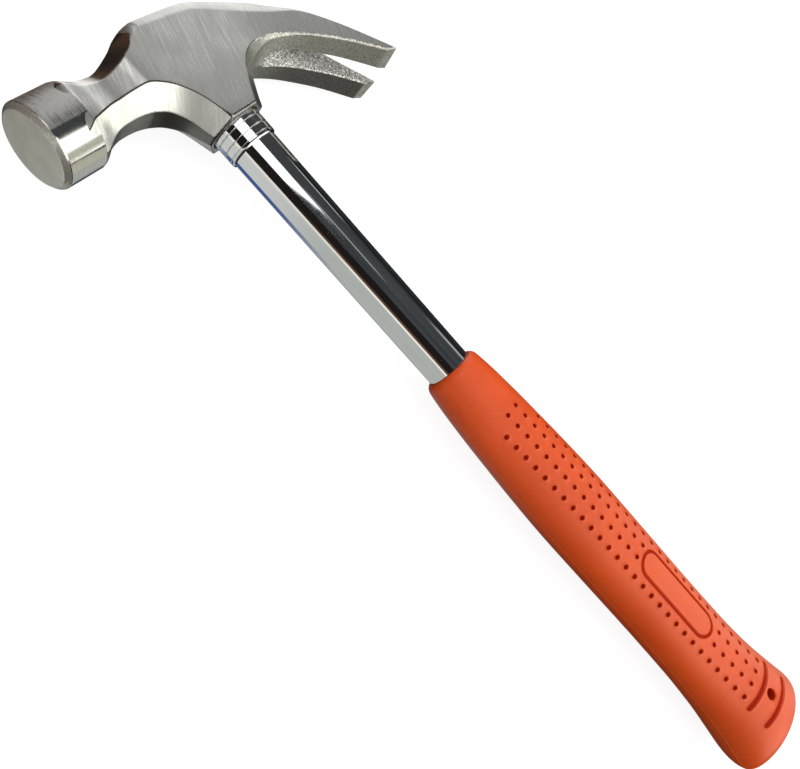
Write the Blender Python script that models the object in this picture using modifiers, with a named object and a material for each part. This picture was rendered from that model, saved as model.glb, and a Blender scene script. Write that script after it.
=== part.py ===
"""Claw hammer: forged head on a chromed steel tube with a moulded rubber grip.

Dimensions here are in millimetres and MM turns them into metres. The hammer lies on its side: +X runs
from the striking face to the claw, +Y from the butt of the grip to the crown of the head, and +Z
points up through the cheek. The eye's axis and the poll's axis cross at the local origin of ROOT.
"""
import math

import bmesh
import bpy
import numpy as np
from mathutils import Vector

MM = 0.001
OBJECT_NAME = "claw_hammer"
ROUND_STEPS = 48

# Poll and striking face, turned about the X axis.
FACE_X = -58.2
FACE_RADIUS = 11.55
FACE_CHAMFER = 1.4
POLL_RADIUS = 13.1
POLL_BACK_X = -43.9
POLL_BACK_CHAMFER = 0.3
# The body runs this far into the poll, shrunk so that it stays inside.
POLL_OVERLAP = 2.5
POLL_OVERLAP_SCALE = 0.9

# Head body. The lower outline runs from the poll to the claw tips in three stretches. Columns:
# x, y, half width of the edge face, width of the facet up to the cheek, x of the crown point above.
NECK_LOWER = [
    (-43.9, -12.9, 4.6, 5.6, -43.9),
    (-40.7, -10.5, 4.4, 5.6, -40.7),
    (-35.2, -8.6, 4.2, 5.4, -35.2),
    (-31.5, -8.2, 4.2, 5.3, -31.5),
    (-27.5, -8.3, 4.3, 5.5, -27.5),
    (-24.1, -8.9, 4.4, 5.9, -24.1),
    (-21.6, -9.7, 4.4, 5.8, -21.4),
    (-17.9, -11.8, 4.2, 5.1, -17.3),
    (-14.2, -16.3, 3.4, 4.5, -13.4),
    (-11.7, -22.0, 2.7, 4.1, -10.0),
    (-10.7, -24.6, 2.5, 4.1, -8.4),
]
COLLAR_LOWER = [
    (-10.7, -24.6, 2.5, 4.1, -8.4),
    (10.9, -24.6, 3.7, 6.6, 5.5),
]
CLAW_LOWER = [
    (10.9, -24.6, 3.7, 6.6, 5.5),
    (12.3, -21.7, 3.8, 6.2, 7.0),
    (14.0, -18.4, 4.2, 5.6, 9.0),
    (15.6, -15.4, 5.0, 5.0, 11.5),
    (17.4, -12.8, 6.5, 4.0, 14.5),
    (20.0, -10.9, 8.2, 2.9, 18.0),
    (24.0, -10.0, 9.9, 2.0, 22.5),
    (28.5, -10.3, 11.2, 1.3, 28.5),
    (38.3, -14.5, 12.7, 0.6, 40.8),
    (50.3, -22.9, 13.5, 0.5, 53.2),
    (63.3, -33.6, 14.5, 0.4, 65.2),
    (67.3, -36.3, 14.9, 0.3, 67.6),
]
# The upper outline, over the neck, the crown and the back of the claw. Columns: x, y, half width
# of the edge face, width of the facet down to the cheek.
UPPER = [
    (-43.9, 12.9, 4.6, 5.4),
    (-41.0, 11.4, 4.5, 5.2),
    (-37.0, 9.7, 4.3, 5.0),
    (-33.0, 8.9, 4.2, 4.7),
    (-29.0, 9.1, 4.2, 4.7),
    (-22.0, 11.8, 5.0, 5.2),
    (-18.3, 13.8, 6.3, 4.4),
    (-15.2, 14.9, 7.3, 3.7),
    (-12.5, 15.4, 7.8, 3.6),
    (-9.0, 15.6, 7.9, 3.6),
    (6.0, 14.8, 7.9, 4.1),
    (13.5, 13.2, 7.9, 4.6),
    (30.0, 6.0, 8.0, 5.6),
    (35.7, 1.9, 8.8, 4.8),
    (40.6, -2.3, 10.3, 3.0),
    (45.4, -7.2, 12.0, 1.3),
    (54.5, -18.0, 13.5, 0.6),
    (63.6, -30.0, 14.4, 0.4),
    (67.6, -35.6, 14.9, 0.3),
]
# Half thickness of the head along X: ground neck, flat cheek, flared claw.
HALF_THICKNESS = [
    (-43.9, 12.9),
    (-41.0, 10.9),
    (-37.5, 9.7),
    (-33.0, 9.2),
    (-25.0, 10.4),
    (-21.0, 11.5),
    (-18.0, 11.6),
    (18.0, 11.6),
    (48.0, 13.8),
    (67.6, 15.3),
]
# How far the upper facet is rounded instead of flat, along X.
CROWN_ROUNDING = [(-20.0, 0.0), (-12.0, 0.7), (30.0, 0.6), (48.0, 0.0)]
COLLAR_FACET_X = (-6.6, 4.2)
NECK_FLARE = 8.0
FLARE_POWER = 2.2
CROWN_STEPS = 8
OUTLINE_STEPS = 2
COLLAR_STEPS = 6
SPLAY_START_X = 45.0
TIP_SPLAY = 1.2
FACET_FACES = 3
CHEEK_FACES = 5

# Nail slot between the claws.
SLOT_START_X = 27.0
SLOT_ROUND_END = 5.0
SLOT_THROUGH_X = 46.0
SLOT_END_X = 70.0
SLOT_MOUTH = 4.6
SLOT_MOUTH_MIN_SHARE = 0.14
SLOT_CROWN_MIN = 1.1
SLOT_CROWN_MAX = 3.4
SLOT_FLOOR_SHARE = 0.8
SLOT_START_DEPTH = 0.3
SLOT_DEPTH = 9.0
SLOT_STATIONS = 16
SLOT_STATION_POWER = 1.3
# How far cutting tools stand clear of the surface that they cut.
TOOL_CLEARANCE = 2.0

# Eye, tube and the pieces on the handle's axis, turned about the Y axis.
FIT_GAP = 0.3
EYE_RADIUS = 7.3
EYE_FLARE_RADIUS = 7.8
EYE_FLARE_LENGTH = 5.0
CROWN_Y = 15.3
COLLAR_Y = -24.6
TUBE_BELOW_CROWN = 0.5
WEDGE_BELOW_CROWN = 0.8
COLLAR_SEAT_DEPTH = 3.2
TUBE_RADIUS = 8.3
TUBE_WALL = 1.2
TUBE_SHOULDER = (-26.5, -21.9)
TUBE_END_Y = -288.0
FERRULE_RADIUS = 9.05
FERRULE_INNER = 8.6
FERRULE_END_Y = -33.4
FERRULE_TOP_Y = -21.9
FERRULE_GROOVES = (-26.6, -29.5, -32.0)
GROOVE_HALF_WIDTH = 0.22
GROOVE_DEPTH = 0.2
# Rounded lower lip of the ferrule: length along the tube and depth of its two facets.
LIP_LENGTH = 0.4
LIP_FIRST_DEPTH = 0.05
LIP_DEPTH = 0.25
WEDGE_LENGTH = 9.0
WEDGE_TAPER = 0.35
WEDGE_CHAMFER = 0.4
WEDGE_NOSE_CHAMFER = 1.0
DOWEL_LENGTH = 60.0
END_PLUG_LENGTH = 14.0
END_PLUG_CHAMFER_WIDTH = 0.6
END_PLUG_CHAMFER_LENGTH = 1.0
END_PLUG_FLANGE = 1.5

# Grip sections from the top to the butt: y, half width along X, half thickness along Z.
GRIP_SECTIONS = [
    (-131.6, 9.5, 9.5),
    (-132.6, 10.4, 10.2),
    (-134.6, 11.0, 10.7),
    (-142.0, 12.2, 11.1),
    (-155.0, 13.6, 11.5),
    (-165.0, 14.3, 11.9),
    (-180.0, 15.2, 12.5),
    (-200.0, 15.9, 13.1),
    (-225.0, 15.8, 13.4),
    (-250.0, 15.7, 13.4),
    (-271.0, 16.0, 13.4),
    (-282.0, 16.4, 13.7),
    (-293.0, 17.1, 14.7),
    (-302.0, 18.2, 15.8),
    (-308.0, 19.1, 16.3),
    (-313.0, 20.0, 16.0),
    (-317.0, 20.4, 14.9),
    (-320.0, 20.0, 12.9),
    (-322.2, 18.8, 10.2),
    (-323.3, 16.4, 7.0),
    (-323.7, 13.0, 3.8),
]
GRIP_SIDES = 40
GRIP_STEPS = 2
GRIP_BORE_DEPTH_Y = -290.0
HANG_HOLE_Y = -302.4
HANG_HOLE_RADIUS = 3.0
HANG_HOLE_SIDES = 32
HANG_HOLE_TOOL_LENGTH = 60.0
MERGE_DISTANCE = 0.00001
# Edges that turn more than this many degrees are shown sharp.
TURNED_SHARP_ANGLE = 35.0
HEAD_SHARP_ANGLE = 22.0
GRIP_SHARP_ANGLE = 40.0

# Name, base colour, metallic, roughness.
STEEL = ("forged_steel", (0.50, 0.50, 0.49), 1.0, 0.35)
CHROME = ("chrome", (0.80, 0.81, 0.83), 1.0, 0.06)
WEDGE_STEEL = ("wedge_steel", (0.32, 0.32, 0.33), 1.0, 0.45)
ASH_WOOD = ("ash_wood", (0.62, 0.44, 0.26), 0.0, 0.70)
BLACK_PLASTIC = ("black_plastic", (0.03, 0.03, 0.03), 0.0, 0.50)
ORANGE_RUBBER = ("orange_rubber", (0.80, 0.13, 0.03), 0.0, 0.50)


def clear_scene():
    for obj in list(bpy.data.objects):
        bpy.data.objects.remove(obj, do_unlink=True)


def new_collection(name):
    collection = bpy.data.collections.new(name)
    bpy.context.scene.collection.children.link(collection)
    return collection


def new_material(spec):
    name, colour, metallic, roughness = spec
    material = bpy.data.materials.new(name)
    material.use_nodes = True
    shader = material.node_tree.nodes["Principled BSDF"]
    shader.inputs["Base Color"].default_value = (*colour, 1.0)
    shader.inputs["Metallic"].default_value = metallic
    shader.inputs["Roughness"].default_value = roughness
    material.diffuse_color = (*colour, 1.0)
    return material


def new_object(name, mesh, collection, root):
    obj = bpy.data.objects.new(name, mesh)
    collection.objects.link(obj)
    obj.parent = root
    return obj


def finish(obj, spec, sharp_angle=TURNED_SHARP_ANGLE):
    obj.data.materials.append(new_material(spec))
    obj.data.shade_smooth()
    obj.data.set_sharp_from_angle(angle=math.radians(sharp_angle))


def loft(name, rings, collection, root):
    """A closed solid through rings of points, each with the same number of points."""
    bm = bmesh.new()
    loops = [[bm.verts.new(Vector(point) * MM) for point in ring] for ring in rings]
    count = len(loops[0])
    for here, there in zip(loops, loops[1:]):
        for i in range(count):
            j = (i + 1) % count
            bm.faces.new((here[i], here[j], there[j], there[i]))
    bm.faces.new(loops[0])
    bm.faces.new(loops[-1])
    bmesh.ops.recalc_face_normals(bm, faces=bm.faces)
    mesh = bpy.data.meshes.new(name)
    bm.to_mesh(mesh)
    bm.free()
    return new_object(name, mesh, collection, root)


def turned(name, profile, axis, collection, root):
    """A profile of (radius, distance along the axis), outer side top to bottom, made round."""
    mesh = bpy.data.meshes.new(name)
    points = [(radius * MM, 0.0, along * MM) for radius, along in profile]
    edges = [(i, i + 1) for i in range(len(points) - 1)]
    if profile[0][0] > 0.0:
        edges.append((len(points) - 1, 0))
    mesh.from_pydata(points, edges, [])
    obj = new_object(name, mesh, collection, root)
    screw = obj.modifiers.new("turn", "SCREW")
    screw.steps = ROUND_STEPS
    screw.render_steps = ROUND_STEPS
    screw.use_merge_vertices = True
    screw.merge_threshold = MERGE_DISTANCE
    obj.rotation_euler = {"X": (0.0, math.pi / 2, 0.0), "Y": (-math.pi / 2, 0.0, 0.0)}[axis]
    return obj


def combine(target, tool, operation):
    modifier = target.modifiers.new(f"{operation.lower()}_{tool.name}", "BOOLEAN")
    modifier.operation = operation
    modifier.object = tool


def hide_cutters(cutters):
    for obj in cutters.objects:
        obj.hide_render = True
        obj.display_type = "WIRE"


def value_at(points, x):
    """Smooth value at x through (x, value) points, with no overshoot between them."""
    xs = [point[0] for point in points]
    ys = [point[1] for point in points]
    if x <= xs[0]:
        return ys[0]
    if x >= xs[-1]:
        return ys[-1]
    slopes = [(ys[i + 1] - ys[i]) / (xs[i + 1] - xs[i]) for i in range(len(xs) - 1)]
    tangents = [slopes[0]]
    for before, after in zip(slopes, slopes[1:]):
        same_way = before * after > 0.0
        tangents.append(2.0 * before * after / (before + after) if same_way else 0.0)
    tangents.append(slopes[-1])
    i = max(k for k in range(len(slopes)) if xs[k] <= x)
    span = xs[i + 1] - xs[i]
    t = (x - xs[i]) / span
    return (
        (2 * t**3 - 3 * t**2 + 1) * ys[i]
        + (t**3 - 2 * t**2 + t) * span * tangents[i]
        + (3 * t**2 - 2 * t**3) * ys[i + 1]
        + (t**3 - t**2) * span * tangents[i + 1]
    )


def spline(points, steps):
    """Catmull-Rom curve through the rows of points, every column at once."""
    rows = np.array(points, dtype=float)
    padded = np.vstack([2 * rows[0] - rows[1], rows, 2 * rows[-1] - rows[-2]])
    out = []
    for p0, p1, p2, p3 in zip(padded, padded[1:], padded[2:], padded[3:]):
        for k in range(steps):
            t = k / steps
            out.append(
                0.5
                * (
                    2 * p1
                    + (p2 - p0) * t
                    + (2 * p0 - 5 * p1 + 4 * p2 - p3) * t**2
                    + (3 * p1 - p0 - 3 * p2 + p3) * t**3
                )
            )
    out.append(rows[-1])
    return np.array(out)


def inward_normals(curve, side):
    tangents = np.gradient(curve[:, :2], axis=0)
    tangents /= np.linalg.norm(tangents, axis=1)[:, None]
    return np.column_stack([-tangents[:, 1], tangents[:, 0]]) * side


def facet(edge, edge_z, cheek, cheek_z, rounding):
    """Points from the edge face up to the cheek, flat at rounding 0 and an arc at 1."""
    points = []
    for i in range(FACET_FACES + 1):
        u = i / FACET_FACES
        angle = u * math.pi / 2
        across = (1 - rounding) * u + rounding * (1 - math.cos(angle))
        up = (1 - rounding) * u + rounding * math.sin(angle)
        x, y = edge + (cheek - edge) * across
        points.append((x, y, edge_z + (cheek_z - edge_z) * up))
    return points


def splayed(ring):
    """Lead the inner corners of the claws ahead of the outer ones towards the tips."""
    out = []
    for x, y, z in ring:
        along = max(0.0, (x - SPLAY_START_X) / (UPPER[-1][0] - SPLAY_START_X))
        lead = TIP_SPLAY * along**2 * (1 - abs(z) / HALF_THICKNESS[-1][1]) * math.sqrt(0.5)
        out.append((x + lead, y - lead, z))
    return out


def flared_to_poll(ring, x):
    """Sweep the neck's eight sides out into the round back of the poll."""
    along = (POLL_BACK_X + NECK_FLARE - x) / NECK_FLARE
    if along <= 0.0:
        return ring
    blend = along**FLARE_POWER
    round_radius = abs(NECK_LOWER[0][1])
    out = []
    for px, py, pz in ring:
        scale = 1 - blend + blend * round_radius / math.hypot(py, pz)
        out.append((px, py * scale, pz * scale))
    return out


def head_ring(lower, normal, on_collar, crown, crown_normal):
    """One section of the head: edge face, facet, cheek, facet, edge face, and its mirror."""
    low, high = lower[:2], crown[:2]
    low_cheek = low + normal * lower[3]
    if on_collar:
        share = (low[0] - COLLAR_LOWER[0][0]) / (COLLAR_LOWER[1][0] - COLLAR_LOWER[0][0])
        start, end = COLLAR_FACET_X
        low_cheek = np.array([start + (end - start) * share, COLLAR_Y])
    high_cheek = high + crown_normal * crown[3]
    low_t = value_at(HALF_THICKNESS, low_cheek[0])
    high_t = value_at(HALF_THICKNESS, high_cheek[0])
    rounding = value_at(CROWN_ROUNDING, high[0])
    half = [(low[0], low[1], 0.0)]
    half += facet(low, lower[2], low_cheek, low_t, 0.0)
    for i in range(1, CHEEK_FACES):
        x, y = low_cheek + (high_cheek - low_cheek) * (i / CHEEK_FACES)
        half.append((x, y, value_at(HALF_THICKNESS, x)))
    half += facet(high, crown[2], high_cheek, high_t, rounding)[::-1]
    half.append((high[0], high[1], 0.0))
    ring = half + [(x, y, -z) for x, y, z in half[-2:0:-1]]
    return splayed(flared_to_poll(ring, high[0]))


def head_rings():
    crown = spline(UPPER, CROWN_STEPS)
    crown_normals = inward_normals(crown, -1)
    crown_rows = np.column_stack([crown, crown_normals])
    rings = []
    stretches = ((NECK_LOWER, OUTLINE_STEPS), (COLLAR_LOWER, COLLAR_STEPS), (CLAW_LOWER, OUTLINE_STEPS))
    for points, steps in stretches:
        curve = spline(points, steps)
        normals = inward_normals(curve, 1)
        first = 1 if rings else 0
        for i in range(first, len(curve)):
            at_crown = [np.interp(curve[i][4], crown_rows[:, 0], column) for column in crown_rows.T]
            at_crown = np.array(at_crown)
            on_collar = math.isclose(curve[i][1], COLLAR_Y)
            rings.append(head_ring(curve[i], normals[i], on_collar, at_crown[:4], at_crown[4:]))
    shrink = POLL_OVERLAP_SCALE
    inside_poll = [(x - POLL_OVERLAP, y * shrink, z * shrink) for x, y, z in rings[0]]
    return [inside_poll] + rings


def slot_rings():
    """Sections of the slot cutter, square to the claw: outside, mouth and depth on each side."""
    curve = spline(CLAW_LOWER, CROWN_STEPS)
    rows = np.column_stack([curve[:, :2], inward_normals(curve, 1)])
    rings = []
    for i in range(SLOT_STATIONS + 1):
        along = (i / SLOT_STATIONS) ** SLOT_STATION_POWER
        x = SLOT_START_X + (SLOT_END_X - SLOT_START_X) * along
        px, py, nx, ny = [np.interp(x, rows[:, 0], column) for column in rows.T]
        past_tip = max(0.0, x - rows[-1, 0])
        px, py = px + past_tip, py - past_tip
        from_start = min(1.0, (x - SLOT_START_X) / SLOT_ROUND_END)
        mouth = SLOT_MOUTH * max(SLOT_MOUTH_MIN_SHARE, math.sqrt(1 - (1 - from_start) ** 2))
        opened = min(1.0, (x - SLOT_START_X) / (SLOT_THROUGH_X - SLOT_START_X))
        towards_tip = max(0.0, (x - SLOT_THROUGH_X) / (SLOT_END_X - SLOT_THROUGH_X))
        floor = SLOT_CROWN_MIN + (SLOT_CROWN_MAX - SLOT_CROWN_MIN) * towards_tip
        floor += (SLOT_MOUTH - SLOT_CROWN_MIN) * (1 - opened) ** 2
        floor = min(floor, mouth * SLOT_FLOOR_SHARE)
        depth = SLOT_START_DEPTH + (SLOT_DEPTH - SLOT_START_DEPTH) * opened
        half = [(-TOOL_CLEARANCE, mouth), (0.0, mouth), (depth, floor)]
        ring = [(px + nx * h, py + ny * h, w) for h, w in half]
        ring += [(px + nx * h, py + ny * h, -w) for h, w in reversed(half)]
        rings.append(ring)
    return rings


def build_head(parts, cutters, root):
    poll = turned(
        "poll_tool",
        [
            (0.0, POLL_BACK_X),
            (POLL_RADIUS - POLL_BACK_CHAMFER, POLL_BACK_X),
            (POLL_RADIUS, POLL_BACK_X - POLL_BACK_CHAMFER),
            (POLL_RADIUS, FACE_X + FACE_CHAMFER),
            (FACE_RADIUS, FACE_X),
            (0.0, FACE_X),
        ],
        "X",
        cutters,
        root,
    )
    seat_radius = FERRULE_RADIUS + FIT_GAP
    eye = turned(
        "eye_tool",
        [
            (0.0, CROWN_Y + TOOL_CLEARANCE),
            (EYE_FLARE_RADIUS, CROWN_Y + TOOL_CLEARANCE),
            (EYE_FLARE_RADIUS, CROWN_Y),
            (EYE_RADIUS, CROWN_Y - EYE_FLARE_LENGTH),
            (EYE_RADIUS, COLLAR_Y + COLLAR_SEAT_DEPTH),
            (seat_radius, COLLAR_Y + COLLAR_SEAT_DEPTH),
            (seat_radius, COLLAR_Y - TOOL_CLEARANCE),
            (0.0, COLLAR_Y - TOOL_CLEARANCE),
        ],
        "Y",
        cutters,
        root,
    )
    slot = loft("slot_tool", slot_rings(), cutters, root)
    head = loft("head", head_rings(), parts, root)
    combine(head, poll, "UNION")
    combine(head, eye, "DIFFERENCE")
    combine(head, slot, "DIFFERENCE")
    finish(head, STEEL, HEAD_SHARP_ANGLE)


def build_handle_tube(parts, root):
    shoulder_low, shoulder_high = TUBE_SHOULDER
    neck = EYE_RADIUS - FIT_GAP
    flare = EYE_FLARE_RADIUS - FIT_GAP
    top = CROWN_Y - TUBE_BELOW_CROWN
    outer = [
        (flare, top),
        (neck, CROWN_Y - EYE_FLARE_LENGTH),
        (neck, shoulder_high),
        (TUBE_RADIUS, shoulder_low),
        (TUBE_RADIUS, TUBE_END_Y),
    ]
    inner = [(radius - TUBE_WALL, along) for radius, along in reversed(outer)]
    tube = turned("handle_tube", outer + inner, "Y", parts, root)
    finish(tube, CHROME)


def build_ferrule(parts, root):
    profile = [(FERRULE_RADIUS, FERRULE_TOP_Y)]
    for groove in FERRULE_GROOVES:
        profile += [
            (FERRULE_RADIUS, groove + GROOVE_HALF_WIDTH),
            (FERRULE_RADIUS - GROOVE_DEPTH, groove),
            (FERRULE_RADIUS, groove - GROOVE_HALF_WIDTH),
        ]
    profile += [
        (FERRULE_RADIUS - LIP_FIRST_DEPTH, FERRULE_END_Y + LIP_LENGTH),
        (FERRULE_RADIUS - LIP_DEPTH, FERRULE_END_Y),
        (FERRULE_INNER, FERRULE_END_Y),
        (FERRULE_INNER, FERRULE_TOP_Y),
    ]
    ferrule = turned("ferrule", profile, "Y", parts, root)
    finish(ferrule, CHROME)


def build_eye_wedge(parts, root):
    """Steel plug driven into the top of the tube, which swells it inside the eye."""
    radius = EYE_RADIUS - FIT_GAP - TUBE_WALL - FIT_GAP
    top = CROWN_Y - WEDGE_BELOW_CROWN
    bottom = top - WEDGE_LENGTH
    profile = [
        (0.0, top),
        (radius + WEDGE_TAPER - WEDGE_CHAMFER, top),
        (radius + WEDGE_TAPER, top - WEDGE_CHAMFER),
        (radius, CROWN_Y - EYE_FLARE_LENGTH),
        (radius, bottom + WEDGE_NOSE_CHAMFER),
        (radius - WEDGE_NOSE_CHAMFER, bottom),
        (0.0, bottom),
    ]
    wedge = turned("eye_wedge", profile, "Y", parts, root)
    finish(wedge, WEDGE_STEEL)


def build_core_dowel(parts, root):
    """Wooden dowel that backs the tube where it enters the head."""
    low_radius = TUBE_RADIUS - TUBE_WALL - FIT_GAP
    high_radius = EYE_RADIUS - FIT_GAP - TUBE_WALL - FIT_GAP
    top = CROWN_Y - WEDGE_BELOW_CROWN - WEDGE_LENGTH - FIT_GAP
    shoulder_low, shoulder_high = TUBE_SHOULDER
    profile = [
        (0.0, top),
        (high_radius, top),
        (high_radius, shoulder_high),
        (low_radius, shoulder_low),
        (low_radius, top - DOWEL_LENGTH),
        (0.0, top - DOWEL_LENGTH),
    ]
    dowel = turned("core_dowel", profile, "Y", parts, root)
    finish(dowel, ASH_WOOD)


def build_end_plug(parts, root):
    """Plastic plug that closes the lower end of the tube inside the grip."""
    plug_radius = TUBE_RADIUS - TUBE_WALL - FIT_GAP
    flange_top = TUBE_END_Y - FIT_GAP
    profile = [
        (0.0, TUBE_END_Y + END_PLUG_LENGTH),
        (plug_radius - END_PLUG_CHAMFER_WIDTH, TUBE_END_Y + END_PLUG_LENGTH),
        (plug_radius, TUBE_END_Y + END_PLUG_LENGTH - END_PLUG_CHAMFER_LENGTH),
        (plug_radius, flange_top),
        (TUBE_RADIUS, flange_top),
        (TUBE_RADIUS, flange_top - END_PLUG_FLANGE),
        (0.0, flange_top - END_PLUG_FLANGE),
    ]
    plug = turned("tube_end_plug", profile, "Y", parts, root)
    finish(plug, BLACK_PLASTIC)


def build_grip(parts, cutters, root):
    rings = []
    for y, half_x, half_z in spline(GRIP_SECTIONS, GRIP_STEPS):
        angles = [2 * math.pi * i / GRIP_SIDES for i in range(GRIP_SIDES)]
        rings.append([(half_x * math.cos(a), y, half_z * math.sin(a)) for a in angles])
    bore_radius = TUBE_RADIUS + FIT_GAP
    bore = turned(
        "grip_bore_tool",
        [
            (0.0, GRIP_SECTIONS[0][0] + TOOL_CLEARANCE),
            (bore_radius, GRIP_SECTIONS[0][0] + TOOL_CLEARANCE),
            (bore_radius, GRIP_BORE_DEPTH_Y - FIT_GAP),
            (0.0, GRIP_BORE_DEPTH_Y - FIT_GAP),
        ],
        "Y",
        cutters,
        root,
    )
    bpy.ops.mesh.primitive_cylinder_add(
        vertices=HANG_HOLE_SIDES, radius=HANG_HOLE_RADIUS * MM, depth=HANG_HOLE_TOOL_LENGTH * MM
    )
    hole = bpy.context.object
    hole.name = "hang_hole_tool"
    for collection in list(hole.users_collection):
        collection.objects.unlink(hole)
    cutters.objects.link(hole)
    hole.parent = root
    hole.location = (0.0, HANG_HOLE_Y * MM, 0.0)
    grip = loft("grip", rings, parts, root)
    combine(grip, bore, "DIFFERENCE")
    combine(grip, hole, "DIFFERENCE")
    finish(grip, ORANGE_RUBBER, GRIP_SHARP_ANGLE)


def stand_on_ground(parts, root):
    """Move the root so that the origin is at the bottom centre of the parts' bounding box."""
    bpy.context.view_layer.update()
    graph = bpy.context.evaluated_depsgraph_get()
    corners = []
    for obj in parts.objects:
        solid = obj.evaluated_get(graph)
        corners += [solid.matrix_world @ Vector(corner) for corner in solid.bound_box]
    low = Vector([min(corner[i] for corner in corners) for i in range(3)])
    high = Vector([max(corner[i] for corner in corners) for i in range(3)])
    root.location = (-(low.x + high.x) / 2, -(low.y + high.y) / 2, -low.z)


def main():
    clear_scene()
    parts = new_collection(OBJECT_NAME)
    cutters = new_collection("cutters")
    root = bpy.data.objects.new("ROOT", None)
    bpy.context.scene.collection.objects.link(root)
    build_head(parts, cutters, root)
    build_handle_tube(parts, root)
    build_ferrule(parts, root)
    build_eye_wedge(parts, root)
    build_core_dowel(parts, root)
    build_end_plug(parts, root)
    build_grip(parts, cutters, root)
    hide_cutters(cutters)
    stand_on_ground(parts, root)


main()
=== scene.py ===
"""Claw hammer: detailed pieces, materials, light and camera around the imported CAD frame.

Pieces are drawn in millimetres about the crossing of the eye's axis and the poll's axis: +X runs to
the claw, +Y to the crown, +Z out of the upper cheek. mesh_object() turns them into metres in the
frame.
"""
import math

import bmesh
import bpy
import numpy as np
from mathutils import Euler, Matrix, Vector
from mathutils.geometry import delaunay_2d_cdt


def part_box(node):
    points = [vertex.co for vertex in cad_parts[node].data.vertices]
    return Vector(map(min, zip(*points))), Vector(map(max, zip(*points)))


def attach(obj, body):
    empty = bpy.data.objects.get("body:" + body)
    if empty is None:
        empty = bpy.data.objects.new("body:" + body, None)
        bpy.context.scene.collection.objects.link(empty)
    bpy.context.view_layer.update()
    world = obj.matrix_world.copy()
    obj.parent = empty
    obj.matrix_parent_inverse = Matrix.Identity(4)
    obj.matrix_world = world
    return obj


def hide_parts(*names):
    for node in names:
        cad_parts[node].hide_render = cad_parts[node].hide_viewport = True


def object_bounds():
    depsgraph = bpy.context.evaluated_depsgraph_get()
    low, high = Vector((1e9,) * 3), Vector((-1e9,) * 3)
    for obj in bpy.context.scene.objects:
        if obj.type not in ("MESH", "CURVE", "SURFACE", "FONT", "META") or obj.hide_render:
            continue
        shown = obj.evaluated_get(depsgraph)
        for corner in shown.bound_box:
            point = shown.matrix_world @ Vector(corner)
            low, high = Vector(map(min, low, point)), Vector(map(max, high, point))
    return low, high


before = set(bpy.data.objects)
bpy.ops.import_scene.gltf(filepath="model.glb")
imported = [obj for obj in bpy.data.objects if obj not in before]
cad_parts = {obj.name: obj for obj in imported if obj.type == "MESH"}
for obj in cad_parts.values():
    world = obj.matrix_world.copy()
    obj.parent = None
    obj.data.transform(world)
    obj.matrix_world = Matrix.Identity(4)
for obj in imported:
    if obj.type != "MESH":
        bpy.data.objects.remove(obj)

CAD_BOUNDS = [list(corner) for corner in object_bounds()]
MM = 0.001
TUBE_TOP_Y = 14.8
tube_low, tube_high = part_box("handle_tube")
ORIGIN = np.array(
    [(tube_low.x + tube_high.x) / 2, tube_high.y - TUBE_TOP_Y * MM, (tube_low.z + tube_high.z) / 2]
)

# Poll, turned about the X axis: x and radius.
POLL_PROFILE = [(-58.2, 0.4), (-58.2, 11.55), (-56.8, 13.1), (-44.1, 13.1), (-43.9, 12.9)]
POLL_ROUNDING = (0.25, 0.5, 0.2)
# Cuts along each side of the poll's profile, and of half a section of the head.
POLL_CUTS = (3, 0, 7, 0)
SECTION_CUTS = (3, 5, 11, 1, 1, 1, 3)
# Lower outline of the head. Columns: x, y, half width of the edge face, width of the facet up to
# the cheek, x of the crown above.
NECK_LOWER = [
    (-43.9, -12.9, 4.6, 5.6, -43.9), (-40.7, -10.5, 4.4, 5.6, -40.7),
    (-35.2, -8.6, 4.2, 5.4, -35.2), (-31.5, -8.2, 4.2, 5.3, -31.5), (-27.5, -8.3, 4.3, 5.5, -27.5),
    (-24.1, -8.9, 4.4, 5.9, -24.1), (-21.6, -9.7, 4.4, 5.8, -21.4), (-17.9, -11.8, 4.2, 5.1, -17.3),
    (-14.2, -16.3, 3.4, 4.5, -13.4), (-11.7, -22.0, 2.7, 4.1, -10.0),
    (-10.7, -24.6, 2.5, 4.1, -8.4),
]
CLAW_LOWER = [
    (11.3, -24.6, 3.7, 6.6, 5.5), (12.6, -21.7, 3.8, 6.2, 7.0), (14.2, -18.4, 4.2, 5.6, 9.0),
    (15.6, -15.4, 5.0, 5.0, 11.5), (17.4, -12.8, 6.5, 4.0, 14.5), (20.0, -10.9, 8.2, 2.9, 18.0),
    (24.0, -10.0, 9.9, 2.0, 22.5), (28.5, -10.3, 11.2, 1.3, 28.5), (38.3, -14.5, 12.7, 0.6, 40.8),
    (50.3, -22.9, 13.5, 0.5, 53.2), (57.5, -29.0, 14.0, 0.45, 60.0), (63.6, -34.6, 14.5, 0.4, 65.4),
]
COLLAR_LOWER = [NECK_LOWER[-1], CLAW_LOWER[0]]
# The bevel under the tips.
TIP_LOWER = [CLAW_LOWER[-1], (67.4, -36.1, 14.9, 0.3, 67.6)]
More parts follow.
